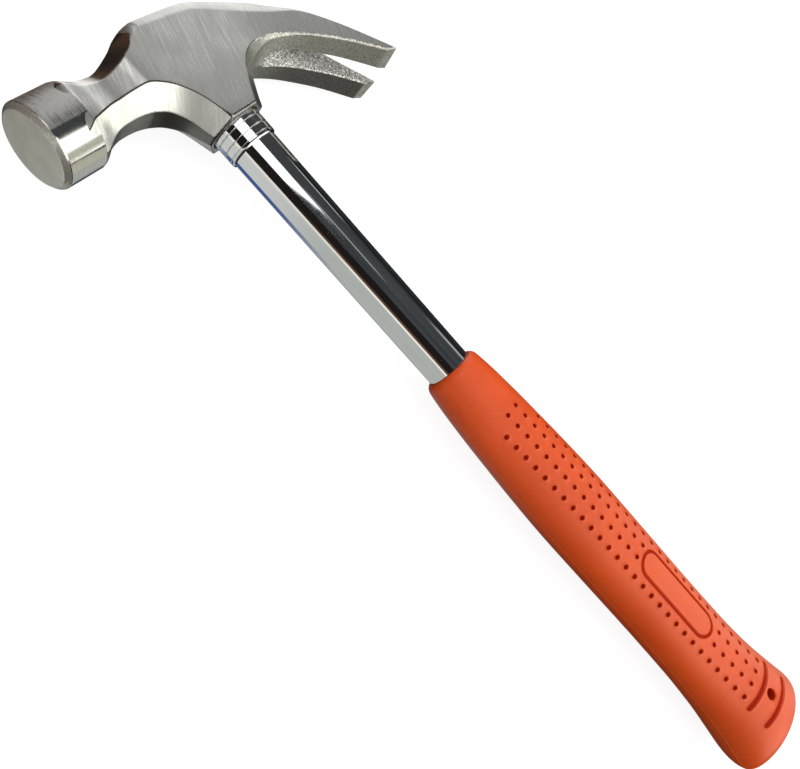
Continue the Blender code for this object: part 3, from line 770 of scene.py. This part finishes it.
def eye_tool(materials):
    """Cutter for the eye: flared at the crown, with a seat for the ferrule at the collar."""
    seat = COLLAR_Y + SEAT_DEPTH
    profile = [
        (0.0, CROWN_Y + OVERCUT), (EYE_FLARE_RADIUS + 2.4, CROWN_Y + OVERCUT),
        (EYE_FLARE_RADIUS + 0.1, CROWN_Y - 0.3), (EYE_FLARE_RADIUS, CROWN_Y - 0.6),
        (EYE_RADIUS, CROWN_Y - 5.0), (EYE_RADIUS, seat), (SEAT_RADIUS, seat),
        (SEAT_RADIUS, COLLAR_Y + 0.35), (SEAT_RADIUS + 2.35, COLLAR_Y - OVERCUT),
        (0.0, COLLAR_Y - OVERCUT),
    ]
    return turned("eye_tool", profile, EYE_STEPS, materials, ZONES.index("collar"))


def build_head(materials):
    crown = spline(UPPER, 16)
    crown = np.column_stack([crown, inward_normals(crown, -1)])
    rings, zones = [], []
    for row in head_rows():
        over = np.array([np.interp(row[3], crown[:, 0], column) for column in crown.T])
        ring, sides = head_ring(row, over)
        rings.append(ring)
        zones.append([ZONES.index(zone_name(side, row)) for side in sides])
    keys = [(x, r, 0.0) for x, r in POLL_PROFILE]
    poll, poll_sides, _ = rounded(keys, POLL_ROUNDING, POLL_CUTS)
    first = np.array(rings[0])
    directions = first[:, 1:] / np.linalg.norm(first[:, 1:], axis=1)[:, None]
    poll_rings, poll_zones = [], []
    names = ("face", "chamfer", "poll", "poll")
    for (x, radius, _), side in list(zip(poll, poll_sides))[:-1]:
        poll_rings.append([(x, radius * y, radius * z) for y, z in directions])
        poll_zones.append(ZONES.index(names[side]))
    shown = poll_zones[1:] + [poll_zones[-1]]
    count = len(shown)

    def index_of(r, i):
        return shown[r] if r < count else zones[min(r - count + 1, len(zones) - 1)][i]

    head = lofted("claw_hammer_head", poll_rings + rings, materials, index_of)
    tools = [eye_tool(materials), slot_tool(materials)]
    for tool in tools:
        cut(head, tool)
    apply_modifiers(head)
    for tool in tools:
        bpy.data.objects.remove(tool, do_unlink=True)
    shade(head, sharp_degrees=28.0)
    head.modifiers.new("weighted", "WEIGHTED_NORMAL").keep_sharp = True
    return head


# ---- tube, ferrule, wedge


def build_tube(material):
    outer = [
        (7.5, TUBE_TOP_Y), (7.0, 10.3), (7.0, -21.9), (8.3, -26.5), (8.3, -26.8), (8.3, -60.0),
        (8.3, -110.0), (8.3, -288.0),
    ]
    inner = [(radius - TUBE_WALL, along) for radius, along in reversed(outer)]
    rim = [(6.45, 14.95), (7.35, 14.95)]
    return turned("steel_tube", outer + inner + rim, TURN_STEPS, [material])


def groove(y, radius, half_width, depth):
    """Profile points of a small round-bottomed groove, from top to bottom."""
    out = []
    for k in range(7):
        t = k / 3 - 1
        depth_here = depth * (1 - t * t) ** 0.5 if abs(t) < 1 else 0.0
        out.append((radius - depth_here, y - t * half_width))
    return out


def build_ferrule(material):
    radius, inner = 9.05, 8.6
    profile = [(8.75, -21.9), (8.95, -21.95), (radius, -22.2), (radius, -25.4)]
    for y, half_width, depth in ((-26.4, 0.30, 0.28), (-29.3, 0.30, 0.28), (-31.9, 0.22, 0.22)):
        profile += [(radius, y + half_width + 0.12)]
        profile += groove(y, radius, half_width, depth)
        profile += [(radius, y - half_width - 0.12)]
    profile += [
        (radius, -32.5), (radius - 0.03, -32.75), (radius - 0.10, -33.0),
        (radius - 0.22, -33.2), (radius - 0.36, -33.33), (inner + 0.03, -33.4),
        (inner, -33.38), (inner, -33.0), (inner, -21.95),
    ]
    return turned("grooved_ferrule", profile, TURN_STEPS, [material], sharp_degrees=50.0)


def build_wedge(material):
    """Steel plug with a drive mark, driven into the top of the tube."""
    profile = [
        (0.0, 14.35), (1.1, 14.35), (1.5, 14.42), (3.6, 14.5), (5.2, 14.45), (5.65, 14.3),
        (5.85, 14.0), (5.5, 10.3), (5.5, 6.5), (4.5, 5.5), (0.0, 5.5),
    ]
    return turned("crown_wedge", profile, WEDGE_STEPS, [material])


# ---- grip

# Turns an angle round the grip into a distance.
GRIP_ROUND = 14.5
# Rings of each feature: how far out, and how deep. The dimples' small rings need fewer points.
SMALL_RING = 0.6
DIMPLE_RINGS = (
    (1.06, 0.0), (0.98, -0.07), (0.90, 0.0), (0.84, 0.3), (0.79, 1.1), (0.52, 1.6), (0.2, 1.7),
)
GROOVE_RINGS = ((1.28, 0.0), (1.16, -0.06), (1.04, 0.10), (0.90, 0.95), (0.50, 1.25), (0.20, 1.30))
CAPSULE_OFFSETS = (
    (0.95, 0.0), (0.76, -0.05), (0.62, 0.12), (0.42, 0.85), (-0.42, 0.85), (-0.62, 0.12),
    (-0.76, -0.05), (-0.95, 0.0),
)
CAPSULE = (0.0, -232.7, -262.8, 5.0)
HOLE_Y = -302.4
HOLE_RADIUS = 2.05
HOLE_RINGS = ((2.65, 0.0), (2.45, 0.03), (2.25, 0.14), (2.11, 0.4), (HOLE_RADIUS, 0.9))
ARC_GROOVES = ((-298.0, -9.7, 10.1), (-307.3, -9.9, 10.3))
INNER_ROW_X = 2.75
OUTER_ROW_X = 8.1
# The plain grid keeps this far from every feature.
CLEAR_MARGIN = 0.42
# How near its radius a point or a triangle's centre counts as on the hole's rim.
RIM_TOLERANCE = 0.02
# The flash line along each side: its half angle and its height over the grip's mean radius.
SEAM_HALF_ANGLE = 0.018
SEAM_LIFT = 0.14 / 15.0
# Faces deeper than this take the darker rubber, painted shade in the recesses.
DEEP = 0.4
# The top and underside patches that hold the dimples and grooves.
PATCH_TOP_Y = -148.0
PATCH_END_Y = -312.5
PATCH_ROWS = 150
# The outline's own rows start this far before the patches, and this far after.
PATCH_GAPS = (0.6, 0.4)
PATCH_EDGE_ANGLE = 0.40


def dimple_centres():
    centres = []
    for side in (-1, 1):
        inner = [-155.2 - 5.0 * i for i in range(15)] + [-271.6, -277.0, -282.4, -287.6, -292.9]
        outer = [-160.1 - 4.94 * i for i in range(0 if side < 0 else 1, 28)]
        centres += [(side * INNER_ROW_X, y) for y in inner]
        centres += [(side * OUTER_ROW_X, y) for y in outer]
    return centres


def circle(x, y, radius, count, shift=0.0):
    turn = [2 * math.pi * (k + shift) / count for k in range(count)]
    return [(x + radius * math.cos(a), y + radius * math.sin(a)) for a in turn]


def stadium(x1, y1, x2, y2, radius, spacing):
    """Points round the line from (x1, y1) to (x2, y2) at the given distance from it."""
    length = math.hypot(x2 - x1, y2 - y1)
    ux, uy = (x2 - x1) / length, (y2 - y1) / length
    straight = max(2, round(length / spacing))
    bend = max(6, round(math.pi * radius / spacing))
    out = []
    for sign, end_x, end_y in ((1, x2, y2), (-1, x1, y1)):
        reach = sign * radius
        for k in range(straight):
            t = length * k / straight if sign > 0 else length * (1 - k / straight)
            out.append((x1 + ux * t - uy * reach, y1 + uy * t + ux * reach))
        for k in range(bend):
            c, s = math.cos(math.pi * k / bend), math.sin(math.pi * k / bend)
            out.append((end_x + reach * (-uy * c + ux * s), end_y + reach * (ux * c + uy * s)))
    return out


class GripSurface:
    """The grip's bare surface by angle round it and distance along its outline."""

    def __init__(self):
        body = spline(GRIP_SECTIONS, 12)
        rows = np.vstack([GRIP_LIP, body, GRIP_BUTT])
        steps = np.linalg.norm(np.diff(np.column_stack([rows[:, 0], rows[:, 2]]), axis=0), axis=1)
        self.rows = rows
        self.along = np.concatenate([[0.0], np.cumsum(steps)])

    def section(self, along):
        return [np.interp(along, self.along, column) for column in self.rows.T]

    def along_at(self, y):
        """Distance along the outline where the flank reaches y."""
        flank = slice(len(GRIP_LIP), len(self.rows) - len(GRIP_BUTT))
        return np.interp(-y, -self.rows[flank, 0], self.along[flank])

    def point(self, angle, along):
        y, half_x, half_z = self.section(along)
        from_seams = min(abs(angle - seam) for seam in (0.0, math.pi, 2 * math.pi))
        lift = 1 + SEAM_LIFT * max(0.0, 1 - from_seams / SEAM_HALF_ANGLE)
        return (half_x * lift * math.cos(angle), y, half_z * math.sin(angle))

    def flat(self, x, y, side):
        """Where the point above (x, y) lies, unrolled: round the grip, along it."""
        along = self.along_at(y)
        half_x = self.section(along)[1]
        angle = math.acos(max(-1.0, min(1.0, x / half_x)))
        return (angle if side > 0 else 2 * math.pi - angle) * GRIP_ROUND, along


def grip_features():
    """Closed outlines in plan with the depth of each, and tests for what lies in a feature."""
    loops, keep_clear = [], []
    for x, y in dimple_centres():
        for radius, depth in DIMPLE_RINGS:
            loops.append((circle(x, y, radius, 16 if radius > SMALL_RING else 8, 0.5), depth))
        keep_clear.append(("disc", x, y, DIMPLE_RINGS[0][0]))
    x, top, bottom, radius = CAPSULE
    for offset, depth in CAPSULE_OFFSETS:
        loops.append((stadium(x, top, x, bottom, radius + offset, 0.9), depth))
    keep_clear.append(("band", x, top, x, bottom, radius, CAPSULE_OFFSETS[0][0]))
    for y, left, right in ARC_GROOVES:
        for radius, depth in GROOVE_RINGS:
            loops.append((stadium(left, y, right, y, radius, 0.7), depth))
        keep_clear.append(("band", left, y, right, y, 0.0, GROOVE_RINGS[0][0]))
    for radius, depth in HOLE_RINGS:
        loops.append((circle(0.0, HOLE_Y, radius, 36), depth))
    keep_clear.append(("disc", 0.0, HOLE_Y, HOLE_RINGS[0][0]))
    points = [(x, y, DIMPLE_RINGS[-1][1] + 0.02) for x, y in dimple_centres()]
    return loops, points, keep_clear


def too_close(x, y, keep_clear):
    for kind, *numbers in keep_clear:
        if kind == "disc":
            cx, cy, radius = numbers
            gap, half = math.hypot(x - cx, y - cy), radius
        else:
            x1, y1, x2, y2, radius, half = numbers
            ux, uy = x2 - x1, y2 - y1
            t = max(0.0, min(1.0, ((x - x1) * ux + (y - y1) * uy) / (ux * ux + uy * uy)))
            gap = abs(math.hypot(x - x1 - ux * t, y - y1 - uy * t) - radius)
        if gap < half + CLEAR_MARGIN:
            return True
    return False


def grip_angles():
    """Angles round the grip, closer together beside the mould seams. 0 is the +X side."""
    quarter = [0.0, SEAM_HALF_ANGLE, 2.2 * SEAM_HALF_ANGLE]
    quarter += list(np.linspace(0.1, math.pi / 2, 24))
    half = quarter + [math.pi - a for a in quarter[-2::-1]]
    return half + [a + math.pi for a in half[1:]]


def bore_wall(vertices, top, bottom):
    """Faces of the hanging hole between its two rims. Their points are added to vertices."""
    rings = [top]
    for share in (0.2, 0.4, 0.6, 0.8):
        rings.append(list(range(len(vertices), len(vertices) + len(top))))
        for a, b in zip(top, bottom):
            upper, lower = np.array(vertices[a]), np.array(vertices[b])
            vertices.append(tuple(upper + (lower - upper) * share))
    rings.append(bottom)
    return [face for pair in zip(rings, rings[1:]) for face in quads(*pair)]


def build_grip(materials):
    """A plain grid all round, but for two patches triangulated through their features."""
    surface = GripSurface()
    angles = grip_angles()
    first, last = surface.along_at(PATCH_TOP_Y), surface.along_at(PATCH_END_Y)
    above = [a for a in surface.along if a < first - PATCH_GAPS[0]]
    below = [a for a in surface.along if a > last + PATCH_GAPS[1]]
    rows = above + list(np.linspace(first, last, PATCH_ROWS)) + below
    r0, r1 = len(above), len(above) + PATCH_ROWS - 1
    low_column = min(k for k, a in enumerate(angles) if a > PATCH_EDGE_ANGLE)
    high_column = max(k for k, a in enumerate(angles) if a < math.pi - PATCH_EDGE_ANGLE)
    count = len(angles) - 1
    half = count // 2
    patches = ((low_column, high_column, 1), (low_column + half, high_column + half, -1))
    vertices, faces, deep_faces = [], [], set()
    grid = {}

    def grid_vertex(r, k):
        k = k % count
        if (r, k) not in grid:
            grid[r, k] = len(vertices)
            vertices.append(surface.point(angles[k], rows[r]))
        return grid[r, k]

    for r in range(len(rows) - 1):
        for k in range(count):
            if not (r0 <= r < r1 and any(a <= k < b for a, b, _ in patches)):
                corners = ((r, k), (r, k + 1), (r + 1, k + 1), (r + 1, k))
                faces.append(tuple(grid_vertex(*corner) for corner in corners))
    faces.append(tuple(grid_vertex(len(rows) - 1, k) for k in range(count)))
    loops, singles, keep_clear = grip_features()
    hole_rims = []
    for left, right, side in patches:
        # Each spot: its place on the unrolled surface, its vertex if it has one, its depth.
        spots, edges = [], []
        for r in range(r0, r1 + 1):
            for k in range(left, right + 1):
                border = r in (r0, r1) or k in (left, right)
                x, y, _ = surface.point(angles[k], rows[r])
                if border or not too_close(x, y, keep_clear):
                    vertex = grid_vertex(r, k) if border else None
                    spots.append(((angles[k] * GRIP_ROUND, rows[r]), vertex, 0.0))
        for loop, depth in loops:
            start = len(spots)
            spots += [(surface.flat(x, y, side), None, depth) for x, y in loop]
            edges += [(start + i, start + (i + 1) % len(loop)) for i in range(len(loop))]
        spots += [(surface.flat(x, y, side), None, depth) for x, y, depth in singles]
        flat = [Vector(spot[0]) for spot in spots]
        places, _, triangles, sources, *_ = delaunay_2d_cdt(flat, edges, [], 0, 1e-6, True)
        ids, depths = [], []
        for place, source in zip(places, sources):
            _, vertex, depth = spots[source[0]] if source else (None, None, 0.0)
            if vertex is None:
                x, y, z = surface.point(place[0] / GRIP_ROUND, place[1])
                vertex = len(vertices)
                vertices.append((x, y, z - side * depth))
            ids.append(vertex)
            depths.append(depth)
        for triangle in triangles:
            corners = [ids[i] for i in triangle]
            x, y, _ = np.mean([vertices[i] for i in corners], axis=0)
            if math.hypot(x, y - HOLE_Y) < HOLE_RADIUS - RIM_TOLERANCE:
                continue
            if np.mean([depths[i] for i in triangle]) > DEEP:
                deep_faces.add(len(faces))
            faces.append(tuple(corners))
        rim = []
        for vertex in ids:
            x, y = vertices[vertex][0], vertices[vertex][1] - HOLE_Y
            if abs(math.hypot(x, y) - HOLE_RADIUS) < RIM_TOLERANCE:
                rim.append((math.atan2(y, x), vertex))
        hole_rims.append([vertex for _, vertex in sorted(rim)])
    indices = [int(i in deep_faces) for i in range(len(faces))]
    wall = bore_wall(vertices, *hole_rims)
    vertices = [(x + value_at(GRIP_BEND, y), y, z) for x, y, z in vertices]
    # The hole's wall takes the darker rubber too: painted shade.
    indices += [1] * len(wall)
    grip = mesh_object("moulded_grip", vertices, faces + wall, materials, indices)
    shade(grip, sharp_degrees=60.0)
    return grip


# ---- world, floor and camera

# Height of the ferrule in the reflections that the camera sees, as a direction's y.
FERRULE_LEVEL = 0.18
# Matt surfaces are brighter on this side.
KEY_LIGHT = (0.55, -0.30, 0.78)
CAMERA_PLACE = (-0.160415, 0.073038, 0.218945)
CAMERA_TURN = (18.2589, -30.3573, -50.0034)
CAMERA_LENS = 33.333
CAMERA_SENSOR = 36.0
CAMERA_CLIP = (0.01, 20.0)
FLOOR_SIZE = 6.0
FLOOR_DROP = 0.0001


def build_world():
    """White surroundings for the eye and for matt surfaces. Glossy surfaces see a dim studio with
    soft boxes, set out by direction: x to the claw, y to the crown, z up."""
    world = bpy.data.worlds.new("studio")
    bpy.context.scene.world = world
    world.use_nodes = True
    world.cycles.sampling_method = "NONE"
    tree = world.node_tree
    background = tree.nodes["Background"]
    direction = tree.nodes.new("ShaderNodeTexCoord").outputs["Generated"]
    n = Nodes(tree, direction)
    x, y, z = n.add("ShaderNodeSeparateXYZ", {"Vector": direction}).outputs
    roll = n.times(n.math("ARCTAN2", x, z), 180.0 / math.pi)
    past = n.math("SUBTRACT", FERRULE_LEVEL, y)

    def over(value, edge, soft):
        return n.ramp(value, edge - soft / 2, edge + soft / 2)

    def under(value, edge, soft):
        return n.ramp(value, edge - soft / 2, edge + soft / 2, 1.0, 0.0)

    def band(value, low, high, soft):
        return n.times(over(value, low, soft), under(value, high, soft))

    def leaning(rate):
        """Roll about the tube, sheared by these degrees for each unit of y below the ferrule."""
        return n.math("SUBTRACT", roll, n.times(past, rate))

    up, down = over(z, 0.0, 0.04), under(z, 0.0, 0.04)
    left, soft_left = leaning(28.0), leaning(650.0)
    centre = over(n.noise(0.35, 2.0), 0.5, 0.5)
    dim = n.mix(centre, (0.034, 0.038, 0.040), (0.062, 0.070, 0.074))
    colour = n.mix(under(y, 0.06, 0.3), (0.050, 0.052, 0.052), dim)
    wall, sill = over(z, -0.4, 0.3), band(left, -110, -84, 1.6)
    # Each layer: its colour, and the masks whose product says where it covers those before it.
    layers = [
        # bench below: pale, but dark on the right
        ((0.45, 0.47, 0.44), down),
        ((0.60, 0.61, 0.58), down, over(y, 0.08, 0.14), under(x, 0.25, 0.1)),
        ((0.04, 0.03, 0.025), down, under(y, -0.34, 0.08), under(x, 0.25, 0.15)),
        ((0.32, 0.32, 0.31), under(z, -0.8, 0.1), over(x, 0.18, 0.1), band(y, -0.3, 0.24, 0.1)),
        ((0.022, 0.024, 0.026), down, over(x, 0.62, 0.06), under(y, 0.22, 0.06)),
        ((0.64, 0.64, 0.62), under(z, -0.2, 0.3), over(y, 0.24, 0.08), over(x, 0.56, 0.06)),
        ((0.05, 0.05, 0.048), under(z, -0.2, 0.3), over(y, 0.24, 0.06), band(x, -0.15, 0.56, 0.06)),
        # a blue cloth under the head
        ((0.022, 0.030, 0.085), under(z, -0.72, 0.2), band(x, 0.3, 0.62, 0.06),
         band(y, -0.16, 0.12, 0.1)),
        ((0.048, 0.10, 0.28), under(z, -0.6, 0.06), band(x, -0.42, 0.20, 0.08), over(y, 0.05, 0.16),
         under(y, 0.21, 0.04)),
        # pale wall beyond the crown, brown towards the poll
        ((0.51, 0.51, 0.50), over(y, 0.27, 0.07), wall),
        ((0.16, 0.16, 0.155), over(y, 0.27, 0.07), band(x, 0.3, 0.49, 0.06), wall),
        ((1.1, 1.1, 1.08), over(y, 0.235, 0.04), over(x, 0.63, 0.06), over(z, 0.3, 0.2)),
        ((1.3, 1.3, 1.28), over(y, 0.50, 0.2), over(x, 0.52, 0.05)),
        ((0.085, 0.048, 0.032), over(y, 0.45, 0.2), under(x, 0.25, 0.2)),
        ((0.085, 0.052, 0.036), over(y, 0.3, 0.1), under(x, 0.52, 0.08), under(z, -0.08, 0.2)),
        ((0.022, 0.019, 0.018), over(y, 0.3, 0.1), band(x, -0.25, 0.3, 0.15), under(z, -0.1, 0.3)),
        ((0.46, 0.48, 0.45), sill, band(y, -0.27, 0.5, 0.08)),
        ((0.60, 0.61, 0.58), sill, band(y, 0.08, 0.5, 0.14)),
        # black wall on the left with a brown frame and a bright sill
        ((0.014, 0.011, 0.010), band(left, -75, -34, 2.5), band(y, -0.4, 0.45, 0.1)),
        ((0.14, 0.075, 0.045), band(left, -73, -66, 4), band(y, -0.4, 0.06, 0.1)),
        ((1.0, 0.97, 0.86), band(left, -84, -75, 1.6), band(y, -0.45, 0.5, 0.1)),
        ((0.45, 0.42, 0.36), band(left, -80.6, -79.0, 1.0), over(y, -0.02, 0.1),
         under(y, 0.4, 0.1)),
        # soft box up on the left, cut off aslant
        ((1.7, 1.7, 1.72), over(left, -34, 3), under(roll, 6, 4), over(soft_left, -66, 14),
         under(y, 0.42, 0.06), up),
        # thin tube lights and a dark edge on the right
        ((0.62, 0.63, 0.63), band(roll, 59.5, 64, 2), band(y, 0.05, 0.14, 0.03), up),
        ((0.36, 0.38, 0.38), band(roll, 9, 14, 2), band(y, -0.04, 0.10, 0.04), up),
        ((0.014, 0.016, 0.018), over(roll, 66, 6), up, band(y, -0.38, 0.15, 0.06)),
        ((0.42, 0.44, 0.46), band(leaning(40.0), 34, 44, 4), band(y, -0.40, -0.14, 0.04), up),
        # windows beyond the butt
        ((0.55, 0.54, 0.50), under(y, -0.43, 0.07), band(x, -0.72, 0.36, 0.2), over(z, 0.2, 0.2)),
        ((2.1, 2.08, 1.92), under(y, -0.40, 0.07), band(x, -0.56, 0.36, 0.14), over(z, 0.2, 0.2)),
        ((0.54, 0.54, 0.45), under(y, -0.45, 0.1), over(x, 0.25, 0.1), over(z, -0.55, 0.1)),
        ((1.8, 1.78, 1.74), under(y, -0.47, 0.05), band(x, 0.16, 0.95, 0.2), over(z, 0.36, 0.10)),
        ((1.4, 1.38, 1.31), under(y, -0.40, 0.07), over(x, 0.56, 0.05), over(z, 0.08, 0.1)),
        ((1.2, 1.2, 1.1), under(y, -0.5, 0.1), over(x, 0.3, 0.1), band(z, 0.035, 0.065, 0.02)),
    ]
    for tint, mask, *others in layers:
        for other in others:
            mask = n.times(mask, other)
        colour = n.mix(mask, colour, tint)
    soft = n.mix(over(z, 0.3, 1.2), (0.34, 0.34, 0.34), (1.08, 1.08, 1.06))
    soft = n.scaled(soft, n.ramp(n.along(KEY_LIGHT), -0.6, 1.0, 0.48, 1.42))
    path = n.add("ShaderNodeLightPath")
    seen = n.mix(path.outputs["Is Glossy Ray"], soft, colour)
    seen = n.mix(path.outputs["Is Camera Ray"], seen, (1.0, 1.0, 1.0))
    n.feed(background.inputs["Color"], seen)
    background.inputs["Strength"].default_value = 1.0


def build_floor():
    """Pale ground that the shiny pieces don't mirror."""
    bm = bmesh.new()
    bmesh.ops.create_grid(bm, x_segments=8, y_segments=8, size=FLOOR_SIZE / 2)
    mesh = bpy.data.meshes.new("floor")
    bm.to_mesh(mesh)
    bm.free()
    floor = bpy.data.objects.new("floor", mesh)
    bpy.context.scene.collection.objects.link(floor)
    floor.location = (0.0, 0.0, CAD_BOUNDS[0][2] - FLOOR_DROP)
    glow = {"Emission_Color": (1.0, 1.0, 1.0), "Emission_Strength": 0.88}
    n = Surface("pale_floor", 0.0, **glow)
    tone = n.spread(n.noise(40.0, 2.0), 0.985, 1.0)
    mesh.materials.append(n.finish(n.scaled((0.20, 0.20, 0.20), tone), 0.8))
    floor.visible_glossy = False
    floor.visible_diffuse = False


def build_camera():
    data = bpy.data.cameras.new("camera")
    data.lens = CAMERA_LENS
    data.sensor_width = CAMERA_SENSOR
    data.clip_start, data.clip_end = CAMERA_CLIP
    camera = bpy.data.objects.new("camera", data)
    bpy.context.scene.collection.objects.link(camera)
    camera.location = CAMERA_PLACE
    camera.rotation_euler = Euler([math.radians(a) for a in CAMERA_TURN], "XYZ")
    bpy.context.scene.camera = camera


def main():
    steels = [kind("steel_" + zone, *looks) for zone, (kind, *looks) in STEELS.items()]
    bright_chrome = chrome("bright_chrome")
    wedge_face = cast_steel("wedge_face", (0.50, 0.49, 0.47), (0.22, 0.21, 0.20), 0.5, 0.03, 0.4)
    orange = [
        rubber("orange_rubber_skin", (0.730, 0.074, 0.0036), (0.780, 0.084, 0.0044), 0.36, 0.5),
        # The second rubber is the first one darkened, painted shade for dimples, grooves and the
        # hole; its duller skin is roughness.
        rubber("orange_rubber_recess_shade", (0.430, 0.016, 0.0014), (0.480, 0.020, 0.0018), 0.60, 0.15),
    ]
    pieces = [
        (build_head(steels), "head", "forged_steel"),
        (build_tube(bright_chrome), "handle_tube", "chrome"),
        (build_ferrule(bright_chrome), "ferrule", "chrome"),
        (build_wedge(wedge_face), "eye_wedge", "wedge_steel"),
        (build_grip(orange), "grip", "orange_rubber"),
    ]
    for piece, node, slot in pieces:
        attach(piece, "root")
        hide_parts(node)
    for node, material in (
        ("core_dowel", ash_wood("ash_wood_grain")),
        ("tube_end_plug", black_plastic("black_plastic_skin")),
    ):
        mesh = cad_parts[node].data
        mesh.materials.clear()
        mesh.materials.append(material)
    build_world()
    build_floor()
    build_camera()
    bpy.context.scene.view_settings.view_transform = "Standard"


main()
bpy.context.view_layer.update()
